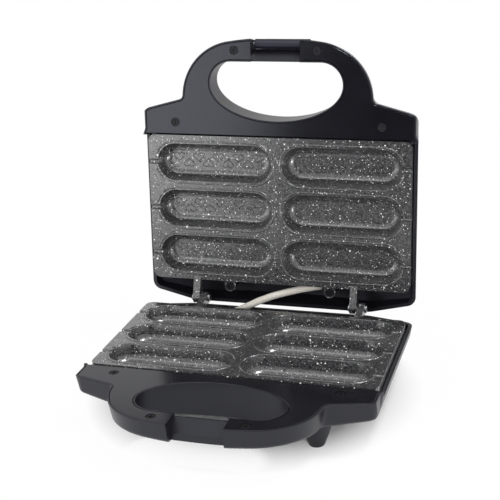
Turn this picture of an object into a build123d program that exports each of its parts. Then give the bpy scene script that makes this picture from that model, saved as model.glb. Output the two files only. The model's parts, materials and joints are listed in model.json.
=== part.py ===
from build123d import *
import os
from math import atan2, cos, degrees, radians, sin, sqrt, tan

os.makedirs("parts", exist_ok=True)

# Sizes are in millimetres and degrees. Each half is drawn on the bench with X along the hinge, Y from the
# hinge axis towards the handle, and Z into the half, away from the faces that meet when it is shut.

# Hinge
open_angle = 94.4
hinge_span = 138.0
lug_width = 6.0
lug_gap = 1.0
knuckle_radius = 4.75
hinge_pin_radius = 2.0
hinge_pin_head_radius = 3.2
hinge_pin_head = 1.2
hinge_pin_head_round = 0.5
running_gap = 0.05
side_gap = 0.2

# Baking plates
plate_width = 225.0
plate_depth = 126.0
plate_corner = 6.0
plate_setback = 16.0
plate_face = 0.8
plate_skin = 4.0
skirt_wall = 3.0
skirt_depth = 9.0
cavity_depth = 12.5
cavity_draft = 14.0
cavity_round = 7.0
cavity_columns = 2
cavity_rows = 3
cavity_column_gap = 9.2
cavity_row_gap = 8.1
cavity_end_margin = 7.9
cavity_side_margin = 7.2
cup_wall = 3.0
stick_groove_radius = 2.2
lug_depth = 6.0
ear_span = 88.0
ear_reach = 5.0
ear_width = 10.0
ear_drop = 3.0
ear_thickness = 3.0

# Housings
wall = 3.0
rim_depth = 1.5
body_depth = 28.0
crown_sag = 11.6
handle_slope = 9.3
slope_offset = 6.0
slope_blend = 120.0
wall_draft = 10.0
edge_round = 4.0
corner_spare = 0.6
rim_edge = 0.5
rear_overhang = 6.3
rear_flat = 154.0
rear_flat_round = 30.0
rear_corner_set_in = 9.5
rear_corner = 9.6
rear_rim_gap = 1.0
rim_step_round = 2.0
bay_end_overlap = 0.5
wing_step = 2.1
wing_step_length = 5.5
wing_length = 21.3
wing_corner = 9.6
shoulder_round = 4.0
handle_width = 161.6
handle_corner = 48.0
handle_front_radius = 260.0
handle_length = 81.5
bay_side_gap = 1.9
bay_wall_gap = 0.8
bay_wall = 2.5
bay_ledge = 4.0

# Hand hole and latch notch
hole_side = 24.8
hole_setback = 13.6
hole_rear_depth = 30.4
hole_corner = 18.0
hole_wall = 2.5
hole_lip = 1.1
notch_width = 41.0
notch_depth = 10.5
catch_land = 1.5
catch_ramp = 13.0

# Handle covers
cover_thickness = 2.5
cover_rim = 1.4
cover_gap = 0.3
cover_rear_gap = 0.2
front_screw_span = 69.2
front_screw_inset = 10.3
rear_screw_inset = 27.7
rear_screw_offset = 11.0
boss_radius = 4.0
recess_depth = 1.7
cover_edge = 0.4

# Screws
screw_radius = 1.5
screw_length = 11.0
screw_head_radius = 3.4
screw_head = 1.4
screw_slot_length = 4.2
screw_slot_width = 0.9
screw_slot_depth = 0.8
head_clearance = 0.4
hole_clearance = 0.25
thread_clearance = 0.02
pilot_end = 0.5

# Heating element and its clamp
element_radius = 3.0
element_depth = 11.0
element_end_inset = 16.5
element_pin_radius = 1.2
element_pin = 9.0
post_radius = 3.5
post_offset = 11.05
clamp_width = 8.0
clamp_end = 7.0
clamp_thickness = 1.0

# Thermostat, thermal cutout and terminal block
thermostat_neck_radius = 4.0
thermostat_neck = 1.4
thermostat_radius = 7.5
thermostat_height = 7.0
blade_width = 4.0
blade_reach = 6.0
blade_thickness = 0.8
cutout_radius = 3.2
cutout_length = 18.0
cutout_lead_radius = 0.8
cutout_lead = 6.0
terminal_length = 24.0
terminal_width = 12.0
terminal_height = 10.0
terminal_top = 10.0
terminal_x = -62.0
terminal_y = 6.8
terminal_screw_radius = 2.2
terminal_screw_depth = 3.0
terminal_post_radius = 4.5
terminal_poles = 3
terminal_pole_pitch = 7.5

# Cord gland
gland_x = 30.0
gland_depth = 17.5
gland_bore_radius = 3.5
gland_body_radius = 4.9
gland_flange_radius = 6.5
gland_flange = 2.0
gland_sink = 2.0
gland_nose = 3.0
gland_nose_radius = 5.4
gland_taper = 8.0
gland_inside = 4.0

# Feet
foot_clearance = 12.0
foot_inset = 10.36
front_foot_offset = 16.0
rear_foot_reach = 20.0
foot_base_radius = 5.75
foot_flare = 19.5
foot_round = 1.5
foot_sink = 3.0
peg_radius = 2.5
peg_inside = 2.0

# Indicator lamps
lamp_span = 26.0
lamp_inset = 14.0
lens_stem_radius = 3.9
lens_flange_radius = 5.2
lens_flange = 1.4
lens_round = 0.9
lens_inside = 1.2
lens_cap = 1.0
lamp_radius = 2.6
lamp_length = 9.0
lamp_gap = 0.15
lamp_round = 1.2

# Latch
latch_pin_radius = 1.5
latch_pivot_depth = 12.0
barrel_radius = 4.0
barrel_length = 38.0
barrel_gap = 0.5
latch_width = 38.0
lever_thickness = 3.5
lever_wall_gap = 0.6
latch_droop = 12.5
heel_length = 8.0
heel_depth = 2.0
hook_reach = 4.1
hook_gap = 0.4
hook_thickness = 2.6
hook_lead = 1.2
tab_length = 3.0
tab_reach = 2.4
tab_corner = 3.0

# Crossover lead: its sleeve from the terminal block to the lid, measured from the middle of the hinge axis
lead_radius = 3.0
lead_bend_share = 0.45
lead_route = [
    (-53.0, -4.8, -16.3),
    (-34.0, -2.6, -8.0),
    (-10.0, 0.8, 4.0),
    (12.0, 5.5, 9.8),
    (27.0, 12.0, 11.4),
    (34.0, 19.0, 10.4),
]

# Every cut runs past the faces that it opens by this much
overrun = 5.0

# Places that follow from the sizes above
plate_middle = plate_setback + plate_depth / 2
plate_front = plate_setback + plate_depth
cavity_length = (
    plate_width - 2 * cavity_end_margin - (cavity_columns - 1) * cavity_column_gap
) / cavity_columns
cavity_width = (plate_depth - 2 * cavity_side_margin - (cavity_rows - 1) * cavity_row_gap) / cavity_rows
cavity_column_pitch = cavity_length + cavity_column_gap
cavity_row_pitch = cavity_width + cavity_row_gap
housing_width = plate_width + 2 * (bay_side_gap + wall)
wing_width = housing_width - 2 * wing_step
hole_width = handle_width - 2 * hole_side
corner_at_crown = min(rear_corner, wing_corner) - body_depth * tan(radians(wall_draft))
crown_round = min(edge_round, corner_at_crown - corner_spare)
crown_radius = housing_width**2 / (8 * crown_sag) + crown_sag / 2
bay_end = plate_front - bay_end_overlap
slope_start = plate_front + slope_offset
wing_reach = plate_front + wing_length
handle_reach = plate_front + handle_length
hole_rear = plate_front + hole_setback
hole_widest = hole_rear + hole_rear_depth
notch_back = handle_reach - notch_depth
rear_rim_drop = rear_overhang * tan(radians(open_angle / 2)) + rear_rim_gap
crown_depth = rim_depth + body_depth
hinge_height = crown_depth + foot_clearance
deep = crown_depth + overrun
cover_seat = rim_depth + cover_thickness
skirt_end = plate_face + skirt_depth
bay_wall_start = plate_front + bay_wall_gap
cover_start = bay_wall_start + cover_rear_gap
clamp_seat = plate_face + element_depth + element_radius + running_gap
sensor_seat = clamp_seat + clamp_thickness
ear_top = plate_face + ear_drop
ear_seat = ear_top + ear_thickness
ear_places = [(side * ear_span / 2, plate_setback - ear_reach) for side in (1, -1)]
front_screw_places = [(side * front_screw_span / 2, handle_reach - front_screw_inset) for side in (1, -1)]
rear_screw_x = wing_width / 2 - rear_screw_inset
rear_screw_places = [(side * rear_screw_x, plate_front + rear_screw_offset) for side in (1, -1)]
cover_screw_places = [*front_screw_places, *rear_screw_places]
element_end = plate_width / 2 - element_end_inset
post_pitch = cavity_row_pitch + 2 * post_offset
clamp_length = post_pitch + 2 * clamp_end
clamp_screw_places = [(0, plate_middle + side * post_pitch / 2) for side in (1, -1)]
lamp_reach = plate_front - lamp_inset
lamp_places = {"power": (lamp_span / 2, lamp_reach), "ready": (-lamp_span / 2, lamp_reach)}
foot_span = handle_width - 2 * foot_inset
front_foot_reach = plate_front + front_foot_offset
foot_places = {
    "front_right_foot": (foot_span / 2, front_foot_reach),
    "front_left_foot": (-foot_span / 2, front_foot_reach),
    "rear_right_foot": (foot_span / 2, rear_foot_reach),
    "rear_left_foot": (-foot_span / 2, rear_foot_reach),
}
hole_front = hole_widest + hole_corner
lug_offset = (lug_width + lug_gap) / 2
gland_seat = rear_overhang - (gland_depth - rim_depth) * tan(radians(wall_draft))
gland_end = gland_seat + gland_flange + gland_nose
latch_pivot_reach = notch_back + barrel_gap + barrel_radius
latch_pin_length = notch_width + 2 * wall
hook_tip_reach = notch_back + lever_wall_gap - hook_reach
catch_depth = crown_depth - (hook_tip_reach - slope_start) * tan(radians(handle_slope))
lever_hook = latch_pivot_depth + catch_depth + hook_gap
lever_end = lever_hook + hook_thickness + tab_length
lever_inner = latch_pivot_reach - notch_back - lever_wall_gap
lever_outer = lever_inner - lever_thickness

# The maker stands on its feet, centred front to back between the base's handle and the tip of the open latch
lean = open_angle - 90
latch_tip_back = (
    latch_pivot_reach * sin(radians(lean))
    + latch_pivot_depth * cos(radians(lean))
    + lever_end * cos(radians(lean + latch_droop))
)
hinge_y = (handle_reach - latch_tip_back) / 2
hinge_point = (0, hinge_y, hinge_height)
base_half = Plane(origin=hinge_point, x_dir=(1, 0, 0), z_dir=(0, 0, -1))
lid_half = Plane(
    origin=hinge_point,
    x_dir=(-1, 0, 0),
    z_dir=(0, sin(radians(open_angle)), cos(radians(open_angle))),
)
halves = {"base": base_half, "lid": lid_half}


def set_down(label, half, piece):
    """Places a piece from the bench in its half of the maker and writes it."""
    with BuildPart() as placed:
        with Locations(half):
            add(piece)
    placed.part.label = label
    export_step(placed.part, f"parts/{label}.step")


def crown_at(x, y):
    """Depth of a housing's outer face under a point of its plan."""
    drop = max(0, y - slope_start) * tan(radians(handle_slope))
    return crown_depth - crown_radius + sqrt((crown_radius - drop) ** 2 - x**2)


# Plan of a housing: rear edge, slanted rear corners, sides and the rounded loop handle
corner_x = handle_width / 2 - handle_corner
front_centre = handle_reach - handle_front_radius
corner_y = front_centre + sqrt((handle_front_radius - handle_corner) ** 2 - corner_x**2)
corner_turn = degrees(atan2(corner_y - front_centre, corner_x))
with BuildSketch() as housing_plan:
    with BuildLine():
        FilletPolyline(
            (0, -rear_overhang),
            (rear_flat / 2, -rear_overhang),
            (housing_width / 2, rear_corner_set_in - rear_overhang),
            (housing_width / 2, wing_reach),
            (handle_width / 2, corner_y),
            radius=[rear_flat_round, rear_corner, wing_corner],
        )
        CenterArc((corner_x, corner_y), handle_corner, 0, corner_turn)
        CenterArc((0, front_centre), handle_front_radius, corner_turn, 90 - corner_turn)
        mirror(about=Plane.YZ)
    make_face()
    plan_corners = housing_plan.vertices()
    shoulders = plan_corners.filter_by_position(Axis.Y, corner_y - running_gap, corner_y + running_gap)
    fillet(shoulders, radius=shoulder_round)


def wing_steps(inset):
    """The strips of plan beside the wings, which stand in a little from the sides of the bay."""
    with BuildSketch() as strips:
        with BuildLine():
            Polyline(
                (housing_width / 2 - inset, bay_end),
                (wing_width / 2 - inset, bay_end + wing_step_length),
                (wing_width / 2 - inset, wing_reach + overrun),
                (housing_width / 2 + overrun, wing_reach + overrun),
                (housing_width / 2 + overrun, bay_end),
                close=True,
            )
        make_face()
        mirror(about=Plane.YZ)
    return strips.sketch


def hole_plan(growth):
    """The hand hole, grown on every side: a straight front, round front corners and an elliptical rear."""
    half_width = hole_width / 2 + growth
    corner = hole_corner + growth
    with BuildSketch() as outline:
        with BuildLine():
            Line((0, hole_front + growth), (half_width - corner, hole_front + growth))
            CenterArc((half_width - corner, hole_widest), corner, 90, -90)
            EllipticalCenterArc((0, hole_widest), half_width, hole_rear_depth + growth, 270, arc_size=90)
            mirror(about=Plane.YZ)
        make_face()
    return outline.sketch


def hull(inset):
    """A housing as a solid block, inset on every side: the plan drawn down, with draft, to the crowned face.

    The crown is the keel line turned about a distant axis: level along the bay, then rising up the handle.
    """
    keel = crown_depth - inset
    keel_start = -rear_overhang - overrun
    keel_end = handle_reach + overrun
    end_depth = keel - (keel_end - slope_start) * tan(radians(handle_slope))
    axis_depth = crown_depth - crown_radius
    with BuildPart() as block:
        with BuildSketch(Plane.XY.offset(rim_depth)):
            add(housing_plan.sketch)
            offset(amount=-inset)
        extrude(amount=body_depth + overrun, taper=wall_draft)
        with BuildSketch(Plane.YZ):
            with BuildLine():
                FilletPolyline(
                    (keel_start, keel), (slope_start, keel), (keel_end, end_depth), radius=slope_blend
                )
                Polyline(
                    (keel_end, end_depth),
                    (keel_end, axis_depth),
                    (keel_start, axis_depth),
                    (keel_start, keel),
                )
            make_face()
        revolve(axis=Axis((0, 0, axis_depth), (0, 1, 0)), mode=Mode.INTERSECT)
    return block.part


# The outer block, with the edge of its crowned face rounded, its wings stepped in and its rim eased
with BuildPart() as outer:
    add(hull(0))
    crown_faces = outer.faces().filter_by(lambda face: face.normal_at().Z > cos(radians(45)))
    crown_edges = [edge for face in crown_faces for edge in face.edges()]
    outer_edges = [edge for edge in crown_edges if sum(edge.is_same(other) for other in crown_edges) == 1]
    fillet(outer_edges, radius=crown_round)
    with BuildSketch():
        add(wing_steps(0))
    extrude(amount=deep, mode=Mode.SUBTRACT)
    chamfer(outer.faces().sort_by(Axis.Z)[0].edges(), length=rim_edge)

# The hollow inside it
with BuildPart() as inner:
    add(hull(wall))
    with BuildSketch():
        add(wing_steps(wall))
    extrude(amount=deep, mode=Mode.SUBTRACT)


def cover_plan(inset):
    """The wings and the loop, inset from the plan of a housing and open at the hand hole and its lip."""
    with BuildSketch() as outline:
        add(housing_plan.sketch)
        offset(amount=-inset)
        add(wing_steps(inset), mode=Mode.SUBTRACT)
        add(hole_plan(hole_lip + inset - cover_rim), mode=Mode.SUBTRACT)
        with Locations((0, cover_start + inset - cover_rim - cover_gap)):
            Rectangle(housing_width, handle_reach, align=(Align.CENTER, Align.MAX), mode=Mode.SUBTRACT)
    return outline.sketch


# What stands inside a housing: the sleeve of the hand hole and its lip, the bay's front wall and ledge, the
# block behind the latch notch, and the bosses for the screws of the cover and of the plate
with BuildPart() as ribs:
    with BuildSketch(Plane.XY.offset(rim_depth)):
        add(hole_plan(hole_lip))
    extrude(amount=deep)
    with BuildSketch(Plane.XY.offset(cover_seat)):
        add(hole_plan(hole_wall))
        with Locations((0, bay_wall_start)):
            Rectangle(housing_width, bay_wall, align=(Align.CENTER, Align.MIN))
        with Locations((0, hole_front)):
            Rectangle(notch_width + 2 * wall, handle_reach - hole_front, align=(Align.CENTER, Align.MIN))
        with Locations(*cover_screw_places):
            Circle(boss_radius)
    extrude(amount=deep)
    with BuildSketch(Plane.XY.offset(skirt_end)):
        with Locations((0, bay_wall_start)):
            Rectangle(housing_width, bay_ledge, align=(Align.CENTER, Align.MAX))
    extrude(amount=deep)
    with BuildSketch(Plane.XY.offset(ear_seat)):
        with Locations(*ear_places):
            Circle(boss_radius)
    extrude(amount=deep)
    add(outer.part, mode=Mode.INTERSECT)

# The shell that both housings share: its rim drops along the bay, and the cover's seat is let into it. A ramp
# leads down into the latch notch.
with BuildPart() as shell:
    add(outer.part)
    add(inner.part, mode=Mode.SUBTRACT)
    with BuildSketch(Plane.YZ):
        with BuildLine():
            FilletPolyline(
                (-rear_overhang - overrun, rear_rim_drop),
                (bay_end, rear_rim_drop),
                (bay_end, 0),
                radius=rim_step_round,
            )
            Polyline(
                (bay_end, 0),
                (-rear_overhang - overrun, 0),
                (-rear_overhang - overrun, rear_rim_drop),
            )
        make_face()
    extrude(amount=housing_width, both=True, mode=Mode.SUBTRACT)
    with BuildSketch():
        add(cover_plan(cover_rim))
    extrude(amount=cover_seat, mode=Mode.SUBTRACT)
    add(ribs.part)
    with BuildSketch(Plane.YZ):
        with BuildLine():
            Polyline(
                (hole_widest, 0),
                (hole_widest, cover_seat),
                (hole_front + catch_land, cover_seat),
                (notch_back, catch_ramp),
                (handle_reach, catch_ramp),
                (handle_reach, 0),
                close=True,
            )
        make_face()
    extrude(amount=notch_width / 2, both=True, mode=Mode.SUBTRACT)
    with BuildSketch():
        add(hole_plan(0))
        with Locations((0, notch_back)):
            Rectangle(notch_width, handle_reach, align=(Align.CENTER, Align.MIN))
    extrude(amount=deep, mode=Mode.SUBTRACT)
    with BuildSketch():
        with Locations(*cover_screw_places, *ear_places):
            Circle(screw_radius + thread_clearance)
    extrude(amount=ear_seat + screw_length, mode=Mode.SUBTRACT)

# Base housing: the shell with holes for the feet and the cord gland, and a post for the terminal block
with BuildPart() as base_housing:
    with BuildSketch(Plane.XY.offset(terminal_top + terminal_height)):
        with Locations((terminal_x, terminal_y)):
            Circle(terminal_post_radius)
    extrude(amount=deep)
    add(outer.part, mode=Mode.INTERSECT)
    add(shell.part)
    with BuildSketch(Plane.XY.offset(terminal_top + terminal_height)):
        with Locations(*foot_places.values()):
            Circle(peg_radius + running_gap)
    extrude(amount=deep, mode=Mode.SUBTRACT)
    with BuildSketch(Plane.XZ.offset(-wall)):
        with Locations((gland_x, gland_depth)):
            Circle(gland_body_radius + running_gap)
    extrude(amount=wall + rear_overhang + overrun, mode=Mode.SUBTRACT)
set_down("base_housing", base_half, base_housing.part)

# Lid housing: the shell with holes for the latch pin and the two lenses
with BuildPart() as lid_housing:
    add(shell.part)
    with BuildSketch(Plane.YZ):
        with Locations((latch_pivot_reach, latch_pivot_depth)):
            Circle(latch_pin_radius + running_gap)
    extrude(amount=latch_pin_length / 2, both=True, mode=Mode.SUBTRACT)
    with BuildSketch(Plane.XY.offset(crown_depth - 2 * wall)):
        with Locations(*lamp_places.values()):
            Circle(lens_stem_radius + running_gap)
    extrude(amount=deep, mode=Mode.SUBTRACT)
set_down("lid_housing", lid_half, lid_housing.part)

# Handle cover: a flat panel over the wings and the loop, open at the hand hole and at the notch
with BuildPart() as cover:
    with BuildSketch(Plane.XY.offset(rim_depth)):
        add(cover_plan(cover_rim + cover_gap))
        with Locations((0, hole_widest)):
            Rectangle(notch_width, handle_reach, align=(Align.CENTER, Align.MIN), mode=Mode.SUBTRACT)
    extrude(amount=cover_thickness)
    chamfer(cover.faces().sort_by(Axis.Z)[0].edges(), length=cover_edge)
    with BuildSketch(Plane.XY.offset(rim_depth)):
        with Locations(*cover_screw_places):
            Circle(screw_head_radius + head_clearance)
    extrude(amount=recess_depth, mode=Mode.SUBTRACT)
    with BuildSketch(Plane.XY.offset(rim_depth)):
        with Locations(*cover_screw_places):
            Circle(screw_radius + hole_clearance)
    extrude(amount=cover_thickness, mode=Mode.SUBTRACT)
for name, half in halves.items():
    set_down(f"{name}_handle_cover", half, cover.part)

# One capsule-shaped cavity, drafted and rounded at the bottom, and the cup cast round it
with BuildPart() as cavity:
    with BuildSketch():
        SlotOverall(cavity_length, cavity_width)
    extrude(amount=cavity_depth, taper=cavity_draft)
    fillet(cavity.faces().sort_by(Axis.Z)[-1].edges(), radius=cavity_round)
with BuildPart() as cup:
    with BuildSketch():
        SlotOverall(cavity_length + 2 * cup_wall, cavity_width + 2 * cup_wall)
    extrude(amount=cavity_depth + cup_wall, taper=cavity_draft)

# Baking plate: a skirted casting with six cups, stick grooves, clamp posts, screw ears and two hinge lugs
plate_centre = Plane((0, plate_middle, plate_face))
lug_arm = plate_setback + skirt_wall
with BuildPart() as plate:
    with BuildSketch(plate_centre):
        RectangleRounded(plate_width, plate_depth, plate_corner)
    extrude(amount=skirt_depth)
    with BuildSketch(plate_centre.offset(plate_skin)):
        RectangleRounded(plate_width, plate_depth, plate_corner)
        offset(amount=-skirt_wall)
    extrude(amount=skirt_depth, mode=Mode.SUBTRACT)
    with Locations(plate_centre):
        with GridLocations(cavity_column_pitch, cavity_row_pitch, cavity_columns, cavity_rows):
            add(cup.part)
    with BuildSketch(plate_centre.offset(plate_skin)):
        Circle(post_radius)
        with GridLocations(0, post_pitch, 1, 2):
            Circle(post_radius)
    extrude(amount=clamp_seat - plate_face - plate_skin)
    with BuildSketch(Plane.XY.offset(ear_top)):
        with Locations(*ear_places):
            Circle(ear_width / 2)
            Rectangle(ear_width, ear_reach + skirt_wall, align=(Align.CENTER, Align.MIN))
    extrude(amount=ear_thickness)
    with BuildSketch(Plane.XY.offset(ear_top)):
        with Locations(*ear_places):
            Circle(screw_radius + hole_clearance)
    extrude(amount=ear_thickness, mode=Mode.SUBTRACT)
    for side in (1, -1):
        with BuildSketch(Plane.YZ.offset(side * hinge_span / 2 + lug_offset)):
            Circle(knuckle_radius)
            with BuildLine():
                Polyline(
                    (0, -knuckle_radius),
                    (lug_arm, plate_face),
                    (lug_arm, plate_face + lug_depth),
                    (0, knuckle_radius),
                    close=True,
                )
            make_face()
            Circle(hinge_pin_radius + running_gap, mode=Mode.SUBTRACT)
        extrude(amount=lug_width / 2, both=True)
    with Locations(plate_centre):
        with GridLocations(cavity_column_pitch, cavity_row_pitch, cavity_columns, cavity_rows):
            add(cavity.part, mode=Mode.SUBTRACT)
    for side in (1, -1):
        with BuildSketch(Plane.YZ.offset(side * plate_width / 2)):
            with Locations((plate_middle, plate_face)):
                with GridLocations(cavity_row_pitch, 0, cavity_rows, 1):
                    Circle(stick_groove_radius)
        extrude(amount=-side * (plate_width - cavity_column_pitch) / 2, mode=Mode.SUBTRACT)
    with BuildSketch(Plane.XY.offset(clamp_seat)):
        with Locations(*clamp_screw_places):
            Circle(screw_radius + thread_clearance)
    extrude(amount=-(screw_length - clamp_thickness + pilot_end), mode=Mode.SUBTRACT)
for name, half in halves.items():
    set_down(f"{name}_plate", half, plate.part)

# Heating element: a sheathed tube bent to a U between the rows of cups, with a pin at each end
bend_x = (cavity_column_pitch - cavity_length + cavity_width) / 2 - cavity_column_pitch
leg = cavity_row_pitch / 2
element_level = Plane((0, plate_middle, plate_face + element_depth))
with BuildPart() as element:
    with BuildLine(element_level) as element_path:
        Line((element_end, -leg), (bend_x, -leg))
        CenterArc((bend_x, 0), leg, 270, -180)
        Line((bend_x, leg), (element_end, leg))
    with BuildSketch(Plane(element_path.line @ 0, z_dir=element_path.line % 0)):
        Circle(element_radius)
    sweep(path=element_path.line)
    with BuildSketch(Plane.YZ.offset(element_end)):
        with Locations((plate_middle, plate_face + element_depth)):
            with GridLocations(cavity_row_pitch, 0, 2, 1):
                Circle(element_pin_radius)
    extrude(amount=element_pin)
for name, half in halves.items():
    set_down(f"{name}_heating_element", half, element.part)

# Element clamp: a strap across both legs of the element, screwed to the posts
with BuildPart() as clamp:
    with BuildSketch(Plane((0, plate_middle, clamp_seat))):
        SlotOverall(clamp_length, clamp_width, rotation=90)
        with GridLocations(0, post_pitch, 1, 2):
            Circle(screw_radius + hole_clearance, mode=Mode.SUBTRACT)
    extrude(amount=clamp_thickness)
for name, half in halves.items():
    set_down(f"{name}_element_clamp", half, clamp.part)

# A cross-slot screw, its head's underside on the bench and its shank pointing down into the half
with BuildPart() as screw:
    with BuildSketch():
        Circle(screw_head_radius)
    extrude(amount=-screw_head)
    with BuildSketch():
        Circle(screw_radius)
    extrude(amount=screw_length)
    with BuildSketch(Plane.XY.offset(-screw_head)):
        Rectangle(screw_slot_length, screw_slot_width)
        Rectangle(screw_slot_width, screw_slot_length)
    extrude(amount=screw_slot_depth, mode=Mode.SUBTRACT)


def set_of_screws(places, seat, turned):
    """Screws at several places on one seat, turned over where they are driven towards the plate."""
    with BuildPart() as screws:
        for x, y in places:
            with Locations(Plane((x, y, seat), x_dir=(1, 0, 0), z_dir=(0, 0, -1 if turned else 1))):
                add(screw.part)
    return screws.part


for name, half in halves.items():
    set_down(f"{name}_cover_screws", half, set_of_screws(cover_screw_places, rim_depth + recess_depth, False))
    set_down(f"{name}_plate_screws", half, set_of_screws(ear_places, ear_top, False))
    set_down(f"{name}_clamp_screws", half, set_of_screws(clamp_screw_places, sensor_seat, True))

# Thermostat under the lid's clamp: a neck, a round body and two blades
blade_depth = sensor_seat + thermostat_neck + thermostat_height / 2
with BuildPart() as thermostat:
    with BuildSketch(Plane((0, plate_middle, sensor_seat))):
        Circle(thermostat_neck_radius)
    extrude(amount=thermostat_neck)
    with BuildSketch(Plane((0, plate_middle, sensor_seat + thermostat_neck))):
        Circle(thermostat_radius)
    extrude(amount=thermostat_height)
    with BuildSketch(Plane((0, plate_middle, blade_depth))):
        Rectangle(2 * (thermostat_radius + blade_reach), blade_width)
    extrude(amount=blade_thickness)
set_down("thermostat", lid_half, thermostat.part)

# Thermal cutout under the base's clamp: a small can with a lead at each end
with BuildPart() as thermal_cutout:
    with BuildSketch(Plane.XZ.offset(-plate_middle)):
        with Locations((0, sensor_seat + cutout_radius)):
            Circle(cutout_radius)
    extrude(amount=cutout_length / 2, both=True)
    with BuildSketch(Plane.XZ.offset(-plate_middle)):
        with Locations((0, sensor_seat + cutout_radius)):
            Circle(cutout_lead_radius)
    extrude(amount=cutout_length / 2 + cutout_lead, both=True)
set_down("thermal_cutout", base_half, thermal_cutout.part)

# Terminal block on its post, with a screw well over each pole
with BuildPart() as terminal_block:
    with BuildSketch(Plane((terminal_x, terminal_y, terminal_top))):
        Rectangle(terminal_length, terminal_width)
    extrude(amount=terminal_height)
    with BuildSketch(Plane((terminal_x, terminal_y, terminal_top))):
        with GridLocations(terminal_pole_pitch, 0, terminal_poles, 1):
            Circle(terminal_screw_radius)
    extrude(amount=terminal_screw_depth, mode=Mode.SUBTRACT)
set_down("terminal_block", base_half, terminal_block.part)

# Cord gland in the rear wall: a nose and flange outside, a bored body through the wall
with BuildPart() as cord_gland:
    with BuildSketch(Plane.XZ.offset(gland_seat - gland_sink)):
        with Locations((gland_x, gland_depth)):
            Circle(gland_flange_radius)
    extrude(amount=gland_sink + gland_flange)
    add(outer.part, mode=Mode.SUBTRACT)
    with BuildSketch(Plane.XZ.offset(gland_seat + gland_flange)):
        with Locations((gland_x, gland_depth)):
            Circle(gland_nose_radius)
    extrude(amount=gland_nose, taper=gland_taper)
    with BuildSketch(Plane.XZ.offset(gland_seat + gland_flange)):
        with Locations((gland_x, gland_depth)):
            Circle(gland_body_radius)
    extrude(amount=-(gland_flange + wall + gland_inside))
    with BuildSketch(Plane.XZ.offset(gland_end)):
        with Locations((gland_x, gland_depth)):
            Circle(gland_bore_radius)
    extrude(amount=-(gland_end + wall + gland_inside), mode=Mode.SUBTRACT)
set_down("cord_gland", base_half, cord_gland.part)

# Feet: flared towards the housing, rounded underneath, each with a peg through the wall
for name, (foot_x, foot_y) in foot_places.items():
    foot_seat = crown_at(foot_x, foot_y)
    foot_root = foot_seat - foot_sink
    peg_end = foot_seat - wall - peg_inside
    root_radius = foot_base_radius + (hinge_height - foot_root) * tan(radians(foot_flare))
    with BuildPart() as foot:
        with BuildSketch(Plane((foot_x, foot_y, foot_root))):
            Circle(root_radius)
        extrude(amount=hinge_height - foot_root, taper=foot_flare)
        fillet(foot.faces().sort_by(Axis.Z)[-1].edges(), radius=foot_round)
        add(outer.part, mode=Mode.SUBTRACT)
        with BuildSketch(Plane((foot_x, foot_y, peg_end))):
            Circle(peg_radius)
        extrude(amount=hinge_height - peg_end - foot_round)
    set_down(name, base_half, foot.part)

# Lenses on the lid's outer face, each a hollow stem through the wall with a rounded flange, and their lamps
lens_start = crown_depth - wall - lens_inside
lens_end = crown_depth + lens_flange
for name, (lens_x, lens_y) in lamp_places.items():
    with BuildPart() as lens:
        with BuildSketch(Plane((lens_x, lens_y, crown_depth))):
            Circle(lens_flange_radius)
        extrude(amount=lens_flange)
        fillet(lens.faces().sort_by(Axis.Z)[-1].edges(), radius=lens_round)
        with BuildSketch(Plane((lens_x, lens_y, lens_start))):
            Circle(lens_stem_radius)
        extrude(amount=crown_depth - lens_start)
        with BuildSketch(Plane((lens_x, lens_y, lens_start))):
            Circle(lamp_radius + lamp_gap)
        extrude(amount=lens_end - lens_cap - lens_start, mode=Mode.SUBTRACT)
    set_down(f"{name}_lens", lid_half, lens.part)
    with BuildPart() as lamp:
        with BuildSketch(Plane((lens_x, lens_y, lens_end - lens_cap - lamp_gap))):
            Circle(lamp_radius)
        extrude(amount=-lamp_length)
        fillet(lamp.edges().filter_by(GeomType.CIRCLE), radius=lamp_round)
    set_down(f"{name}_lamp", lid_half, lamp.part)

# Hinge pins: one rivet through each pair of lugs
pin_grip = 2 * lug_width + lug_gap + 2 * side_gap
for name, side in (("right_hinge_pin", 1), ("left_hinge_pin", -1)):
    with BuildPart() as hinge_pin:
        with BuildSketch(Plane.YZ.offset(side * hinge_span / 2)):
            Circle(hinge_pin_radius)
        extrude(amount=pin_grip / 2, both=True)
        for end in (1, -1):
            with BuildSketch(Plane.YZ.offset(side * hinge_span / 2 + end * pin_grip / 2)):
                Circle(hinge_pin_head_radius)
            extrude(amount=end * hinge_pin_head)
        rivet_ends = hinge_pin.faces().sort_by(Axis.X)
        fillet([*rivet_ends[0].edges(), *rivet_ends[-1].edges()], radius=hinge_pin_head_round)
    set_down(name, base_half, hinge_pin.part)

# Latch, drawn with X along its pin, Y along the lever and Z towards the notch wall when it is shut
latch_rest = Plane(
    origin=(0, latch_pivot_reach, latch_pivot_depth),
    x_dir=(-1, 0, 0),
    z_dir=(0, cos(radians(latch_droop)), sin(radians(latch_droop))),
)
hook_end = lever_hook + hook_thickness
with BuildPart() as latch:
    with BuildSketch(Plane.YZ):
        with BuildLine():
            Polyline(
                (0, lever_inner),
                (lever_hook, lever_inner),
                (lever_hook, lever_inner + hook_reach),
                (hook_end - hook_lead, lever_inner + hook_reach),
                (hook_end, lever_inner),
                (lever_end, lever_inner),
                (lever_end, lever_outer - tab_reach),
                (hook_end, lever_outer),
                (heel_length, lever_outer),
                (heel_length, -heel_depth),
                (0, -heel_depth),
                close=True,
            )
        make_face()
    extrude(amount=latch_width / 2, both=True)
    with BuildSketch(Plane.YZ):
        Circle(barrel_radius)
    extrude(amount=barrel_length / 2, both=True)
    with BuildSketch(Plane.YZ):
        Circle(latch_pin_radius + running_gap)
    extrude(amount=barrel_length / 2, both=True, mode=Mode.SUBTRACT)
    fillet(latch.edges().filter_by(Axis.Z).group_by(Axis.Y)[-1], radius=tab_corner)
with BuildPart() as latch_on_lid:
    with Locations(latch_rest):
        add(latch.part)
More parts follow.
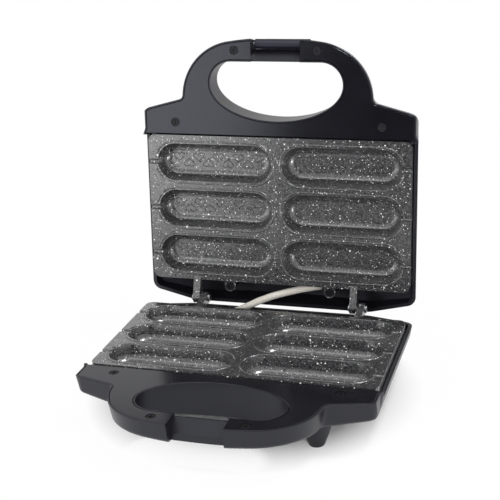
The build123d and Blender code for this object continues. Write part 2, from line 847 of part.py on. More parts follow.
set_down("latch", lid_half, latch_on_lid.part)

# Latch pin across the notch
with BuildPart() as latch_pin:
    with BuildSketch(Plane.YZ):
        with Locations((latch_pivot_reach, latch_pivot_depth)):
            Circle(latch_pin_radius)
    extrude(amount=latch_pin_length / 2, both=True)
set_down("latch_pin", lid_half, latch_pin.part)

# Crossover lead: its sleeve from the face of the terminal block, over the rear rims and into the lid
lead_points = [Vector(*point) + Vector(*hinge_point) for point in lead_route]
lead_runs = [end - start for start, end in zip(lead_points, lead_points[1:])]
lead_radii = [
    lead_bend_share * min(run.length, after.length) / tan(radians(run.get_angle(after)) / 2)
    for run, after in zip(lead_runs, lead_runs[1:])
]
print("crossover lead bend radii", [round(radius, 1) for radius in lead_radii])
with BuildPart() as crossover_lead:
    with BuildLine() as lead_path:
        FilletPolyline(*lead_points, radius=lead_radii)
    with BuildSketch(Plane(lead_path.line @ 0, z_dir=lead_path.line % 0)):
        Circle(lead_radius)
    sweep(path=lead_path.line)
    terminal_face = Plane((terminal_x + terminal_length / 2, 0, 0), z_dir=(1, 0, 0))
    split(bisect_by=terminal_face, keep=Keep.TOP)
crossover_lead.part.label = "crossover_lead"
export_step(crossover_lead.part, "parts/crossover_lead.step")
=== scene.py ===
"""Looks of a two-plate hot dog maker standing open.

The plates are speckled like stone, the housings are black mouldings, and a braided lead joins them.
"""

import json
from math import cos, radians, sin

import bmesh
import bpy
import numpy as np
from mathutils import Matrix


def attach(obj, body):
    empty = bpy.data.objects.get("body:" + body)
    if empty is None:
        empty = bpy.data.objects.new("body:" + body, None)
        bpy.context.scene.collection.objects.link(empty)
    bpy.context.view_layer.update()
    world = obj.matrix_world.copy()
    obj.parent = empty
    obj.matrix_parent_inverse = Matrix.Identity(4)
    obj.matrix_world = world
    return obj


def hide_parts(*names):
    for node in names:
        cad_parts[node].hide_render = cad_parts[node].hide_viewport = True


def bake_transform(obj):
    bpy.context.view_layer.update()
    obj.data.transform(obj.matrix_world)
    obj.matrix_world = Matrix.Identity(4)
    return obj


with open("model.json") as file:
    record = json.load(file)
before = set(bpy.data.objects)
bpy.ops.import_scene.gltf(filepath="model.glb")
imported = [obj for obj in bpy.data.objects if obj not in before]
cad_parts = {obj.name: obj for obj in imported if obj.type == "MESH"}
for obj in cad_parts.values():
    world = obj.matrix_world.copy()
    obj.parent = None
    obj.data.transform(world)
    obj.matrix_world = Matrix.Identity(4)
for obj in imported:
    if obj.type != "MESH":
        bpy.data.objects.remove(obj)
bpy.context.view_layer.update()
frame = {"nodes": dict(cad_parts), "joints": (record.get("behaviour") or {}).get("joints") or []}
nodes = frame["nodes"]

# The frame is in metres. The object's sizes are written in millimetres and multiplied by MM, and
# those of the stage are written in metres.
MM = 0.001

# The hinge axis, and the lean of the open lid, which shuts by a right angle and that lean
hinge = next(joint for joint in frame["joints"] if joint["name"] == "lid_hinge")
HINGE_Y, HINGE_Z = hinge["pos_m"][1], hinge["pos_m"][2]
LEAN = radians(hinge["range_deg"][1] - 90)

# Sizes of the plates, in millimetres, as cast
PLATE_MIDDLE = 79.0
PLATE_FACE = 0.8
CAVITY_LENGTH = 100.0
CAVITY_WIDTH = 31.8
CAVITY_DEPTH = 12.5
COLUMN_PITCH = 109.2
ROW_PITCH = 39.9
GROOVE_RADIUS = 2.2


def bench_to_base(points):
    """Bench places (x, y to the handle, z into the half), in mm, laid out in the base, in metres.

    X stays, y runs forward from the hinge axis, and z runs down from it.
    """
    x, y, z = np.moveaxis(np.asarray(points, float) * MM, -1, 0)
    return np.stack([x, HINGE_Y - y, HINGE_Z - z], -1)


def bench_to_lid(points):
    """The same places turned over into the open lid, in metres.

    X changes sides, y runs up the lean of the lid, and z runs to its back.
    """
    x, y, z = np.moveaxis(np.asarray(points, float) * MM, -1, 0)
    back = HINGE_Y + y * sin(LEAN) + z * cos(LEAN)
    height = HINGE_Z + y * cos(LEAN) - z * sin(LEAN)
    return np.stack([-x, back, height], -1)


HALVES = {"base": bench_to_base, "lid": bench_to_lid}


# Materials

def linear(code):
    """An sRGB hex colour as a linear RGBA tuple."""
    channels = np.array([int(code[i:i + 2], 16) for i in (1, 3, 5)]) / 255
    low = channels / 12.92
    high = ((channels + 0.055) / 1.055) ** 2.4
    return (*np.where(channels <= 0.04045, low, high), 1.0)


def add_node(tree, kind, inputs, **settings):
    """Adds one node with its settings, and fills or links its inputs by name or index."""
    node = tree.nodes.new(kind)
    for name, value in settings.items():
        setattr(node, name, value)
    for name, value in inputs.items():
        socket = node.inputs[name]
        if isinstance(value, bpy.types.NodeSocket):
            tree.links.new(value, socket)
        else:
            socket.default_value = value
    return node


def new_material(name):
    """An empty node material, its tree and its output node."""
    material = bpy.data.materials.new(name)
    material.use_nodes = True
    tree = material.node_tree
    tree.nodes.clear()
    return material, tree, tree.nodes.new("ShaderNodeOutputMaterial")


def per_metre(size_mm):
    """Texture scale whose features repeat about every size_mm."""
    return 1 / (size_mm * MM)


# Width of a fleck's soft edge, as a share of the largest radius in its layer
SOFT_EDGE = 0.35


def speck_layer(tree, place, cell_mm, share, largest):
    """A 0 to 1 mask of round flecks.

    A share of the Voronoi cells each hold one, up to largest cells in radius. The mask is the
    fleck's radius less the distance from its middle, cut off at 0 and at the soft edge.
    """
    cells = add_node(tree, "ShaderNodeTexVoronoi", {"Vector": place, "Scale": per_metre(cell_mm)})
    dice = add_node(tree, "ShaderNodeSeparateColor", {"Color": cells.outputs["Color"]})
    radius = add_node(
        tree, "ShaderNodeMapRange",
        {
            "Value": dice.outputs["Red"], "From Min": 1 - share, "From Max": 1.0,
            "To Min": 0.0, "To Max": largest,
        },
    )
    inside = add_node(
        tree, "ShaderNodeMath",
        {0: radius.outputs["Result"], 1: cells.outputs["Distance"]}, operation="SUBTRACT",
    )
    edge = add_node(
        tree, "ShaderNodeMapRange",
        {"Value": inside.outputs[0], "From Min": 0.0, "From Max": largest * SOFT_EDGE},
    )
    return edge.outputs["Result"]


# The coating's flecks, from the lowest layer up: cell in mm, share of the cells that hold a fleck,
# largest radius in cells, and colour
FLECKS = {
    "black": (2.0, 0.6, 0.46, "#030304"),
    "dust": (1.2, 0.45, 0.42, "#7c7c7c"),
    "white": (1.6, 0.6, 0.35, "#f2f2f0"),
    "chips": (4.0, 0.35, 0.24, "#f2f2f0"),
}
# Sizes in the coating, in millimetres: how far flecks are ragged and over what width, the clouds of
# its ground, and its orange-peel grain with the grain's depth
RAGGED_BY = 1.2
RAGGED_OVER = 1.4
MOTTLE = 1.6
GRAIN = 1.8
GRAIN_DEPTH = 0.2


def stone_coating(name, dark, pale):
    """Grey stone-look non-stick enamel, sprayed on cast aluminium.

    The eye sees a mottled dark ground full of pale and black flecks, under a clear gloss.
    """
    # The spray's grain is finer than a pixel, so mottle and flecks are drawn coarser than life.
    material, tree, out = new_material(name)
    where = add_node(tree, "ShaderNodeTexCoord", {}).outputs["Object"]
    warp = add_node(
        tree, "ShaderNodeTexNoise",
        {"Vector": where, "Scale": per_metre(RAGGED_OVER), "Detail": 1.0},
    )
    ragged = add_node(
        tree, "ShaderNodeVectorMath",
        {0: warp.outputs["Color"], 1: (RAGGED_BY * MM,) * 3}, operation="MULTIPLY",
    )
    place = add_node(
        tree, "ShaderNodeVectorMath", {0: where, 1: ragged.outputs[0]}, operation="ADD"
    ).outputs[0]
    mottle = add_node(
        tree, "ShaderNodeTexNoise", {"Vector": where, "Scale": per_metre(MOTTLE), "Detail": 2.0}
    ).outputs["Fac"]
    spread = add_node(
        tree, "ShaderNodeMapRange", {"Value": mottle, "From Min": 0.38, "From Max": 0.64}
    ).outputs["Result"]
    ground = add_node(
        tree, "ShaderNodeMix",
        {"Factor": spread, "A": linear(dark), "B": linear(pale)}, data_type="RGBA",
    ).outputs["Result"]
    masks = {}
    for layer, (cell_mm, share, largest, tint) in FLECKS.items():
        masks[layer] = speck_layer(tree, place, cell_mm, share, largest)
        ground = add_node(
            tree, "ShaderNodeMix",
            {"Factor": masks[layer], "A": ground, "B": linear(tint)}, data_type="RGBA",
        ).outputs["Result"]
    grain = add_node(
        tree, "ShaderNodeTexNoise", {"Vector": where, "Scale": per_metre(GRAIN), "Detail": 2.0}
    )
    bump = add_node(
        tree, "ShaderNodeBump",
        {"Height": grain.outputs["Fac"], "Strength": 0.5, "Distance": GRAIN_DEPTH * MM},
    ).outputs["Normal"]
    sheen = add_node(tree, "ShaderNodeMapRange", {"Value": mottle, "To Min": 0.3, "To Max": 0.4})
    # The black flecks are matt, so they stay dark under a reflection.
    lacquer = add_node(
        tree, "ShaderNodeMapRange", {"Value": masks["black"], "To Min": 0.95, "To Max": 0.05}
    )
    shader = add_node(
        tree, "ShaderNodeBsdfPrincipled",
        {
            "Base Color": ground, "Roughness": sheen.outputs["Result"], "Normal": bump,
            "IOR": 1.45, "Coat Weight": lacquer.outputs["Result"], "Coat Roughness": 0.2,
            "Coat IOR": 1.8, "Coat Normal": bump,
        },
    )
    tree.links.new(shader.outputs["BSDF"], out.inputs["Surface"])
    return material


# Width of the slow changes of tone and gloss across a moulding, in millimetres
MOULDING_CLOUD = 22.0


def moulded_plastic(name, dark, pale, roughness, texture_mm, depth_mm):
    """Moulded plastic: an even ground, a fine spark-eroded texture and slow changes of gloss."""
    # The real texture is about a tenth of a millimetre, so it is drawn coarser to show.
    material, tree, out = new_material(name)
    where = add_node(tree, "ShaderNodeTexCoord", {}).outputs["Object"]
    cloud = add_node(
        tree, "ShaderNodeTexNoise",
        {"Vector": where, "Scale": per_metre(MOULDING_CLOUD), "Detail": 2.0},
    ).outputs["Fac"]
    ground = add_node(
        tree, "ShaderNodeMix",
        {"Factor": cloud, "A": linear(dark), "B": linear(pale)}, data_type="RGBA",
    ).outputs["Result"]
    gloss = add_node(
        tree, "ShaderNodeMapRange",
        {"Value": cloud, "To Min": roughness[0], "To Max": roughness[1]},
    )
    grit = add_node(
        tree, "ShaderNodeTexNoise",
        {"Vector": where, "Scale": per_metre(texture_mm), "Detail": 2.0},
    )
    bump = add_node(
        tree, "ShaderNodeBump",
        {"Height": grit.outputs["Fac"], "Strength": 0.3, "Distance": depth_mm * MM},
    )
    # The gloss has the faint cool cast of plastic blackened with carbon.
    shader = add_node(
        tree, "ShaderNodeBsdfPrincipled",
        {
            "Base Color": ground, "Roughness": gloss.outputs["Result"],
            "Normal": bump.outputs["Normal"], "IOR": 1.5, "Specular Tint": linear("#eff1ff"),
        },
    )
    tree.links.new(shader.outputs["BSDF"], out.inputs["Surface"])
    return material


def bare_metal(name, dark, pale, roughness, grain_mm):
    """Plain or plated metal with a faint turned or drawn grain and small changes of tone."""
    # The grain of such small parts is too fine to show, so it is drawn coarser.
    material, tree, out = new_material(name)
    where = add_node(tree, "ShaderNodeTexCoord", {}).outputs["Object"]
    grain = add_node(
        tree, "ShaderNodeTexNoise", {"Vector": where, "Scale": per_metre(grain_mm), "Detail": 3.0}
    ).outputs["Fac"]
    ground = add_node(
        tree, "ShaderNodeMix",
        {"Factor": grain, "A": linear(dark), "B": linear(pale)}, data_type="RGBA",
    ).outputs["Result"]
    gloss = add_node(
        tree, "ShaderNodeMapRange",
        {"Value": grain, "To Min": roughness[0], "To Max": roughness[1]},
    )
    shader = add_node(
        tree, "ShaderNodeBsdfPrincipled",
        {"Base Color": ground, "Roughness": gloss.outputs["Result"], "Metallic": 1.0},
    )
    tree.links.new(shader.outputs["BSDF"], out.inputs["Surface"])
    return material


# Width of the clouds in a lens, in millimetres
LENS_CLOUD = 4.0


def tinted_lens(name, tint, deep):
    """Translucent moulded lens: a strong tint, glossy, with a slightly cloudy body."""
    material, tree, out = new_material(name)
    where = add_node(tree, "ShaderNodeTexCoord", {}).outputs["Object"]
    cloud = add_node(
        tree, "ShaderNodeTexNoise", {"Vector": where, "Scale": per_metre(LENS_CLOUD)}
    )
    ground = add_node(
        tree, "ShaderNodeMix",
        {"Factor": cloud.outputs["Fac"], "A": linear(deep), "B": linear(tint)}, data_type="RGBA",
    )
    shader = add_node(
        tree, "ShaderNodeBsdfPrincipled",
        {
            "Base Color": ground.outputs["Result"], "Roughness": 0.12, "IOR": 1.49,
            "Transmission Weight": 0.35,
        },
    )
    tree.links.new(shader.outputs["BSDF"], out.inputs["Surface"])
    return material


# Depth between the yarns of the braid, in millimetres
YARN_DEPTH = 0.3


def braided_glass_fibre():
    """Cream glass-fibre braid over a lead, drawn on the tube's own UV map.

    Two sets of yarns cross on the bias: the larger of two sine waves, of u + v and of u - v.
    """
    material, tree, out = new_material("braided_glass_fibre")
    uv = add_node(tree, "ShaderNodeUVMap", {}, uv_map="braid").outputs["UV"]
    split = add_node(tree, "ShaderNodeSeparateXYZ", {"Vector": uv})
    waves = []
    for slant in (1.0, -1.0):
        turned = add_node(
            tree, "ShaderNodeMath", {0: split.outputs["Y"], 1: slant}, operation="MULTIPLY"
        )
        phase = add_node(
            tree, "ShaderNodeMath", {0: split.outputs["X"], 1: turned.outputs[0]}, operation="ADD"
        )
        angle = add_node(
            tree, "ShaderNodeMath", {0: phase.outputs[0], 1: 2 * np.pi}, operation="MULTIPLY"
        )
        wave = add_node(tree, "ShaderNodeMath", {0: angle.outputs[0]}, operation="SINE")
        waves.append(wave.outputs[0])
    yarn = add_node(tree, "ShaderNodeMath", {0: waves[0], 1: waves[1]}, operation="MAXIMUM")
    height = add_node(
        tree, "ShaderNodeMapRange", {"Value": yarn.outputs[0], "From Min": -1.0, "From Max": 1.0}
    ).outputs["Result"]
    # Paler on the yarns' crowns and darker towards the low gaps between them: painted shade in the
    # gaps, on cream fibre.
    ground = add_node(
        tree, "ShaderNodeMix",
        {"Factor": height, "A": linear("#8f8a80"), "B": linear("#e4e0d6")}, data_type="RGBA",
    )
    bump = add_node(
        tree, "ShaderNodeBump", {"Height": height, "Strength": 0.6, "Distance": YARN_DEPTH * MM}
    )
    shader = add_node(
        tree, "ShaderNodeBsdfPrincipled",
        {
            "Base Color": ground.outputs["Result"], "Roughness": 0.55,
            "Normal": bump.outputs["Normal"], "Sheen Weight": 0.2,
        },
    )
    tree.links.new(shader.outputs["BSDF"], out.inputs["Surface"])
    return material


stone = stone_coating("stone_nonstick_coating", "#0a0a0c", "#434345")
# The hearts' ribs take a darker copy of the stone coating: painted shade, so their lines read as
# dark outlines.
stone_painted_shade_lines = stone_coating("stone_coating_painted_shade_in_embossed_lines", "#040405", "#161617")
housing_black = moulded_plastic(
    "satin_black_housing", "#101013", "#151519",
    roughness=(0.32, 0.4), texture_mm=0.9, depth_mm=0.02,
)
cover_black = moulded_plastic(
    "semigloss_black_cover", "#0d0d11", "#121218",
    roughness=(0.15, 0.2), texture_mm=1.2, depth_mm=0.006,
)
latch_black = moulded_plastic(
    "satin_black_latch", "#11111a", "#171722",
    roughness=(0.28, 0.36), texture_mm=0.9, depth_mm=0.015,
)
foot_black = moulded_plastic(
    "matt_black_foot", "#0c0c0e", "#121214",
    roughness=(0.45, 0.55), texture_mm=0.9, depth_mm=0.03,
)
terminal_cream = moulded_plastic(
    "cream_terminal_plastic", "#cfc8b4", "#ddd7c6",
    roughness=(0.45, 0.55), texture_mm=0.6, depth_mm=0.01,
)
phenolic_brown = moulded_plastic(
    "brown_phenolic", "#4b3020", "#5d3c28",
    roughness=(0.4, 0.5), texture_mm=0.6, depth_mm=0.01,
)
rubber_black = moulded_plastic(
    "black_gland_rubber", "#161616", "#202020",
    roughness=(0.6, 0.7), texture_mm=0.9, depth_mm=0.02,
)
black_screw = bare_metal(
    "blackened_screw_steel", "#2a2a2c", "#3c3c3f", roughness=(0.4, 0.5), grain_mm=0.8
)
plated_steel = bare_metal(
    "zinc_plated_steel", "#8e9092", "#b4b6b8", roughness=(0.28, 0.4), grain_mm=0.8
)
sheath_steel = bare_metal(
    "heat_dulled_sheath", "#55504b", "#77716a", roughness=(0.45, 0.6), grain_mm=1.2
)
can_aluminium = bare_metal(
    "plain_can_aluminium", "#a9abad", "#c9cacc", roughness=(0.3, 0.42), grain_mm=0.8
)
red_lens = tinted_lens("red_lamp_lens", "#c01a12", "#7a0c08")
green_lens = tinted_lens("green_lamp_lens", "#1f9a3a", "#0c5a1e")
lamp_glass = tinted_lens("clear_lamp_glass", "#f1e6d6", "#d2bfa6")
braid = braided_glass_fibre()

FINISHES = {
    stone: ["base_plate", "lid_plate"],
    housing_black: ["base_housing", "lid_housing"],
    cover_black: ["base_handle_cover", "lid_handle_cover"],
    latch_black: ["latch"],
    foot_black: ["front_right_foot", "front_left_foot", "rear_right_foot", "rear_left_foot"],
    black_screw: [
        "base_cover_screws", "lid_cover_screws", "base_plate_screws", "lid_plate_screws",
    ],
    plated_steel: [
        "base_clamp_screws", "lid_clamp_screws", "base_element_clamp", "lid_element_clamp",
        "right_hinge_pin", "left_hinge_pin", "latch_pin",
    ],
    sheath_steel: ["base_heating_element", "lid_heating_element"],
    can_aluminium: ["thermal_cutout"],
    lamp_glass: ["power_lamp", "ready_lamp"],
    phenolic_brown: ["thermostat"],
    terminal_cream: ["terminal_block"],
    rubber_black: ["cord_gland"],
    red_lens: ["power_lens"],
    green_lens: ["ready_lens"],
}
for finish, names in FINISHES.items():
    for name in names:
        nodes[name].data.materials.clear()
        nodes[name].data.materials.append(finish)


# Pieces finer than the castings: the raised bead round each cavity, the hearts on its floor, and
# the lead's braid

# Corners nearer than this, in metres, become one
WELD_WITHIN = 1e-8


def add_piece(name, grids, finish):
    """One mesh from grids of points, with a quad between each four neighbours.

    A grid is (points of shape (rows, columns, 3), closed along rows, closed along columns).
    Corner (r, c) of a grid has UV (r, c), which a closed direction carries on past its seam. Rows
    that shrink to a point are welded there.
    """
    corners, faces, places, first = [], [], [], 0
    for points, closed_u, closed_v in grids:
        rows, columns = points.shape[:2]
        row, column = np.meshgrid(
            np.arange(rows if closed_u else rows - 1),
            np.arange(columns if closed_v else columns - 1),
            indexing="ij",
        )
        r = np.stack([row, row, row + 1, row + 1], -1).reshape(-1, 4)
        c = np.stack([column, column + 1, column + 1, column], -1).reshape(-1, 4)
        corners.append(points.reshape(-1, 3))
        faces.append(first + (r % rows) * columns + c % columns)
        places.append(np.stack([r, c], -1).reshape(-1, 2))
        first += rows * columns
    mesh = bpy.data.meshes.new(name)
    mesh.from_pydata(np.concatenate(corners).tolist(), [], np.concatenate(faces).tolist())
    uv = mesh.uv_layers.new(name="braid")
    uv.data.foreach_set("uv", np.concatenate(places).astype(np.float32).ravel())
    weld = bmesh.new()
    weld.from_mesh(mesh)
    bmesh.ops.remove_doubles(weld, verts=weld.verts, dist=WELD_WITHIN)
    weld.to_mesh(mesh)
    weld.free()
    mesh.shade_smooth()
    mesh.materials.append(finish)
    piece = bpy.data.objects.new(name, mesh)
    bpy.context.scene.collection.objects.link(piece)
    return piece


RIB_SIDES = 12
AROUND = np.linspace(0, 2 * np.pi, RIB_SIDES, endpoint=False)
OUT_OF_PLATE = np.array([0.0, 0.0, -1.0])


def rib(line, side, swell, half_width, half_height):
    """An ellipse carried along a line.

    At each angle it is the line, plus swell times side by the width and up by the height.
    """
    across = side[:, None] * (half_width * np.cos(AROUND))[None, :, None]
    upward = OUT_OF_PLATE * (half_height * np.sin(AROUND))[None, :, None]
    return line[:, None] + swell[:, None, None] * (across + upward)


# The bead round a cavity, in millimetres: how far outside the cavity it runs, its own size, and the
# room that it leaves beside the stick groove
BEAD_OFFSET = 2.0
BEAD_HALF_WIDTH = 0.8
BEAD_HEIGHT = 0.6
BEAD_STOP = 0.6
BEAD_STEPS = 120
END_RADIUS = CAVITY_WIDTH / 2 + BEAD_OFFSET
STRAIGHT = CAVITY_LENGTH - CAVITY_WIDTH
STOP_ANGLE = np.arcsin((GROOVE_RADIUS + BEAD_HALF_WIDTH + BEAD_STOP) / END_RADIUS)


def bead(centre_x, centre_y):
    """A round bead on the plate along a capsule, open at the stick groove.

    The capsule is two half circles pushed apart by the straight. Its angle runs once round from the
    groove at the outer end, and both ends of the bead swell from a point like an ellipse.
    """
    turn = np.linspace(STOP_ANGLE, 2 * np.pi - STOP_ANGLE, BEAD_STEPS)
    to_end = np.minimum(turn - turn[0], turn[-1] - turn) * END_RADIUS
    swell = np.sqrt(1 - np.clip(1 - to_end / BEAD_HALF_WIDTH, 0, 1) ** 2)
    flip = np.sign(centre_x)
    side = np.stack([flip * np.cos(turn), flip * np.sin(turn), np.zeros_like(turn)], -1)
    line = END_RADIUS * side + np.stack(
        [
            centre_x + flip * np.sign(np.cos(turn)) * STRAIGHT / 2,
            np.full_like(turn, centre_y),
            np.full_like(turn, PLATE_FACE),
        ],
        -1,
    )
    return rib(line, side, swell, BEAD_HALF_WIDTH, BEAD_HEIGHT), False, True


# The hearts on a cavity's floor, in millimetres: the rib that draws one, the size of its outline,
# and the places of the two rows
MOTIF_HALF_WIDTH = 0.4
MOTIF_HEIGHT = 0.25
HEART_HALF_WIDTH = 4.6
HEART_UNIT = 0.25
MOTIF_PITCH = 17.5
MOTIF_RISE = 2.8
LOOP_STEPS = 48
LOOP = np.linspace(0, 2 * np.pi, LOOP_STEPS, endpoint=False)
# Each row's places along the cavity, in pitches, and which way up its hearts are
HEART_ROWS = ((np.arange(-2, 3), 1), (np.arange(-1.5, 2), -1))


def loop_rib(x, y):
    """A low rib on a cavity's floor along a closed line of the plan.

    Its side is turned a quarter from the line's run, which is the step between both neighbours.
    """
    line = np.stack([x, y, np.full_like(x, PLATE_FACE + CAVITY_DEPTH)], -1)
    run = np.roll(line, -1, 0) - np.roll(line, 1, 0)
    run /= np.linalg.norm(run, axis=-1, keepdims=True)
    side = np.stack([run[:, 1], -run[:, 0], np.zeros_like(x)], -1)
    return rib(line, side, np.ones_like(x), MOTIF_HALF_WIDTH, MOTIF_HEIGHT), True, True


def heart(centre_x, centre_y, way):
    """A heart outline: the cubed sine of the angle across, and a sum of four cosines along.

    Way is 1 or -1, for a heart either way up.
    """
    across = HEART_HALF_WIDTH * np.sin(LOOP) ** 3
    along = 13 * np.cos(LOOP) - 5 * np.cos(2 * LOOP) - 2 * np.cos(3 * LOOP) - np.cos(4 * LOOP)
    return loop_rib(centre_x - way * across, centre_y + way * HEART_UNIT * along)


cavities = [
    (column * COLUMN_PITCH / 2, PLATE_MIDDLE + row * ROW_PITCH)
    for column in (-1, 1)
    for row in (-1, 0, 1)
]
beads = [bead(x, y) for x, y in cavities]
hearts = [
    heart(x + place * MOTIF_PITCH, y + way * MOTIF_RISE, way)
    for x, y in cavities
    for places, way in HEART_ROWS
    for place in places
]
for body, laid_out in HALVES.items():
    for name, grids, finish in (
        (f"{body}_cavity_beads", beads, stone),
        (f"{body}_floor_hearts", hearts, stone_painted_shade_lines),
    ):
        piece = add_piece(name, [(laid_out(points), *closed) for points, *closed in grids], finish)
        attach(piece, body)

# The crossover lead's route from the terminal block to the lid, from the middle of the hinge axis,
# in millimetres
LEAD_ROUTE = np.array(
    [
        (-53.0, -4.8, -16.3), (-34.0, -2.6, -8.0), (-10.0, 0.8, 4.0),
        (12.0, 5.5, 9.8), (27.0, 12.0, 11.4), (34.0, 19.0, 10.4),
    ]
)
LEAD_RADIUS = 3.0
BRAID_STEP = 0.6
YARNS = 24
hinge_middle = np.array([0, HINGE_Y, HINGE_Z])
on_hinge = LEAD_ROUTE * MM + hinge_middle
route = bpy.data.curves.new("lead_route", "CURVE")
route.dimensions = "3D"
route.resolution_u = 24
spline = route.splines.new("NURBS")
spline.points.add(len(LEAD_ROUTE) - 1)
weighted = np.concatenate([on_hinge, np.ones((len(on_hinge), 1))], 1)
spline.points.foreach_set("co", weighted.ravel())
spline.order_u = 3
spline.use_endpoint_u = True
holder = bpy.data.objects.new("lead_route", route)
bpy.context.scene.collection.objects.link(holder)
drawn = bpy.data.meshes.new_from_object(holder)
lead_points = np.empty(len(drawn.vertices) * 3, np.float32)
drawn.vertices.foreach_get("co", lead_points)
bpy.data.objects.remove(holder)
bpy.data.meshes.remove(drawn)


def lead_tube(line):
    """A round tube along a line: points evenly spaced by length, each with a circle square to it.

    The circle starts from the direction nearest to up, and both ends close to a point.
    """
    run = np.r_[0, np.cumsum(np.linalg.norm(np.diff(line, axis=0), axis=1))]
    even = np.linspace(0, run[-1], int(run[-1] / (BRAID_STEP * MM)))
    centre = np.stack([np.interp(even, run, line[:, axis]) for axis in range(3)], -1)
    ahead = np.gradient(centre, axis=0)
    ahead /= np.linalg.norm(ahead, axis=1, keepdims=True)
    first = np.cross(ahead, (0.0, 1.0, 0.0))
    first /= np.linalg.norm(first, axis=1, keepdims=True)
    second = np.cross(ahead, first)
    angle = np.linspace(0, 2 * np.pi, YARNS, endpoint=False)
    radius = np.full(len(centre), LEAD_RADIUS * MM)
    radius[[0, -1]] = 0
    circle = (
        first[:, None] * np.cos(angle)[None, :, None]
        + second[:, None] * np.sin(angle)[None, :, None]
    )
    return centre[:, None] + radius[:, None, None] * circle


tube = lead_tube(lead_points.reshape(-1, 3).astype(float))
lead = add_piece("braided_lead", [(tube, False, True)], braid)
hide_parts("crossover_lead")
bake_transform(lead)


# Stage: a white floor that keeps the shadow, white surroundings, cards for the reflections, and
# soft light

def in_sight(tree):
    """1 for rays from the camera, in reflections and through clear parts: the largest of the three.

    It is 0 for the rays that light the object.
    """
    path = add_node(tree, "ShaderNodeLightPath", {})
    seen = path.outputs["Is Camera Ray"]
    for kind in ("Is Glossy Ray", "Is Transmission Ray"):
        either = add_node(
            tree, "ShaderNodeMath", {0: seen, 1: path.outputs[kind]}, operation="MAXIMUM"
        )
        seen = either.outputs[0]
    return seen


world = bpy.data.worlds.new("studio")
bpy.context.scene.world = world
world.use_nodes = True
tree = world.node_tree
tree.nodes.clear()
sky = add_node(tree, "ShaderNodeBackground", {"Color": linear("#ffffff"), "Strength": 0.35})
white = add_node(tree, "ShaderNodeBackground", {"Color": linear("#ffffff"), "Strength": 1.0})
pick = add_node(
    tree, "ShaderNodeMixShader", {0: in_sight(tree), 1: sky.outputs[0], 2: white.outputs[0]}
)
add_node(tree, "ShaderNodeOutputWorld", {"Surface": pick.outputs[0]})

# The floor shows its light and shadow near the object, fades to plain white away from it in two
# steps, and is clear when seen from below. A fade goes from metres off the middle to a share.
FADES = (
    {"From Min": 0.095, "From Max": 0.135, "To Min": 0.0, "To Max": 0.97},
    {"From Min": 0.15, "From Max": 0.35, "To Min": 0.0, "To Max": 0.03},
)
FLOOR_HALF = 3.0
floor_finish, tree, out = new_material("white_studio_floor")
paint = add_node(tree, "ShaderNodeBsdfDiffuse", {"Color": linear("#f6f6f6")})
glow = add_node(tree, "ShaderNodeEmission", {"Color": linear("#ffffff"), "Strength": 1.0})
where = add_node(tree, "ShaderNodeTexCoord", {}).outputs["Object"]
away = add_node(tree, "ShaderNodeVectorMath", {0: where}, operation="LENGTH").outputs["Value"]
near, far = (
    add_node(tree, "ShaderNodeMapRange", {"Value": away, **fade}).outputs["Result"]
    for fade in FADES
)
faded = add_node(tree, "ShaderNodeMath", {0: near, 1: far}, operation="ADD")
share = add_node(
    tree, "ShaderNodeMath", {0: in_sight(tree), 1: faded.outputs[0]}, operation="MULTIPLY"
)
above = add_node(
    tree, "ShaderNodeMixShader", {0: share.outputs[0], 1: paint.outputs[0], 2: glow.outputs[0]}
)
below = add_node(tree, "ShaderNodeNewGeometry", {}).outputs["Backfacing"]
clear = add_node(tree, "ShaderNodeBsdfTransparent", {})
pick = add_node(
    tree, "ShaderNodeMixShader", {0: below, 1: above.outputs[0], 2: clear.outputs[0]}
)
tree.links.new(pick.outputs[0], out.inputs["Surface"])
across = np.linspace(-FLOOR_HALF, FLOOR_HALF, 3)
floor_x, floor_y = np.meshgrid(across, across)
floor_points = np.stack([floor_x, floor_y, np.zeros_like(floor_x)], -1)
add_piece("floor", [(floor_points, False, False)], floor_finish)


def card(name, ends, profile, glow):
    """A card that only reflections see.

    A bent line of (y, z) places is carried along X from one end to the other, in metres.
    """
    finish, tree, out = new_material(name)
    shine = add_node(tree, "ShaderNodeEmission", {"Color": linear("#ffffff"), "Strength": glow})
    tree.links.new(shine.outputs[0], out.inputs["Surface"])
    points = np.stack([np.insert(profile, 0, x, axis=1) for x in ends])
    piece = add_piece(name, [(points, False, False)], finish)
    piece.visible_camera = False
    piece.visible_diffuse = False
    piece.visible_transmission = False
    piece.visible_shadow = False


FRONT = [(-0.5, 0.004), (-0.85, 0.004), (-0.95, 0.1), (-0.95, 0.34)]
OVERHEAD = [(-0.8, 1.2), (-0.3, 1.4)]
RIGHT = [(-0.6, 0.004), (-0.3, 0.004)]
REAR = [(0.9, 0.65), (0.9, 1.4)]
TOP = [(-0.04, 1.1), (0.24, 1.1)]
card("left_light_card", ends=(-1.6, -0.3), profile=FRONT, glow=2.6)
card("front_dark_card", ends=(-0.3, 0.15), profile=FRONT, glow=0.02)
card("overhead_light_card", ends=(-0.7, 0.3), profile=OVERHEAD, glow=2.4)
card("right_light_card", ends=(0.28, 0.5), profile=RIGHT, glow=26.0)
card("rear_dark_card", ends=(-0.75, 0.35), profile=REAR, glow=0.1)
card("top_light_card", ends=(0.28, 0.56), profile=TOP, glow=40.0)

# Where the lights are aimed
MIDDLE = np.array([0.0, 0.02, 0.1])


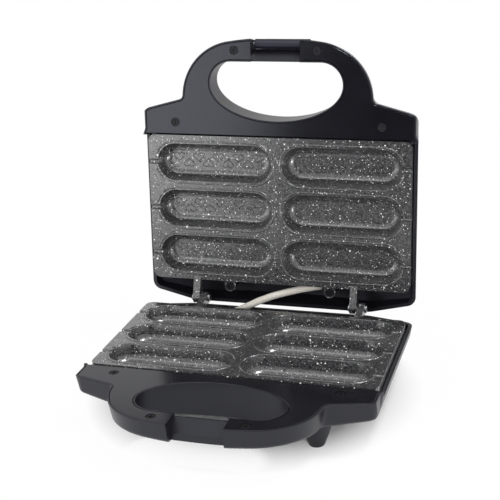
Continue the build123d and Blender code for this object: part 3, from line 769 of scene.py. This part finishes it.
def soft_light(name, place, width, height, power):
    """A rectangular area light, placed and sized in metres, aimed at the object's middle.

    It is left out of reflections, where the cards stand for it.
    """
    lamp = bpy.data.lights.new(name, "AREA")
    lamp.shape = "RECTANGLE"
    lamp.size = width
    lamp.size_y = height
    lamp.energy = power
    holder = bpy.data.objects.new(name, lamp)
    back = np.asarray(place, float) - MIDDLE
    back /= np.linalg.norm(back)
    side = np.cross((0, 0, 1), back)
    side /= np.linalg.norm(side)
    turn = np.eye(4)
    turn[:3, :3] = np.stack([side, np.cross(back, side), back], 1)
    turn[:3, 3] = place
    holder.matrix_world = Matrix(turn.tolist())
    holder.visible_glossy = False
    bpy.context.scene.collection.objects.link(holder)


soft_light("left_softbox", place=(-0.8, -1.2, 0.6), width=0.7, height=0.7, power=12.0)
soft_light("top_softbox", place=(0.42, 0.1, 1.1), width=0.28, height=0.28, power=5.5)
soft_light("right_softbox", place=(0.5, -0.95, 0.3), width=0.4, height=0.5, power=6.0)

# Camera, fitted to the photograph: place from the middle of the hinge axis in mm, then its three
# turns
EYE = np.array([253.51, -885.6, 379.63]) * MM + hinge_middle
AZIMUTH, ELEVATION, ROLL = radians(17.34), radians(19.75), radians(-2.62)
SENSOR_MM = 36.0
LENS_MM = 83.91
ahead = np.array(
    [-sin(AZIMUTH) * cos(ELEVATION), cos(AZIMUTH) * cos(ELEVATION), -sin(ELEVATION)]
)
right = np.array([cos(AZIMUTH), sin(AZIMUTH), 0.0])
up = np.cross(right, ahead)
stand = np.eye(4)
stand[:3, 0] = cos(ROLL) * right + sin(ROLL) * up
stand[:3, 1] = -sin(ROLL) * right + cos(ROLL) * up
stand[:3, 2] = -ahead
stand[:3, 3] = EYE
camera_data = bpy.data.cameras.new("camera")
camera_data.sensor_width = SENSOR_MM
camera_data.lens = LENS_MM
camera = bpy.data.objects.new("camera", camera_data)
camera.matrix_world = Matrix(stand.tolist())
bpy.context.scene.collection.objects.link(camera)
bpy.context.scene.camera = camera
bpy.context.scene.view_settings.view_transform = "Standard"
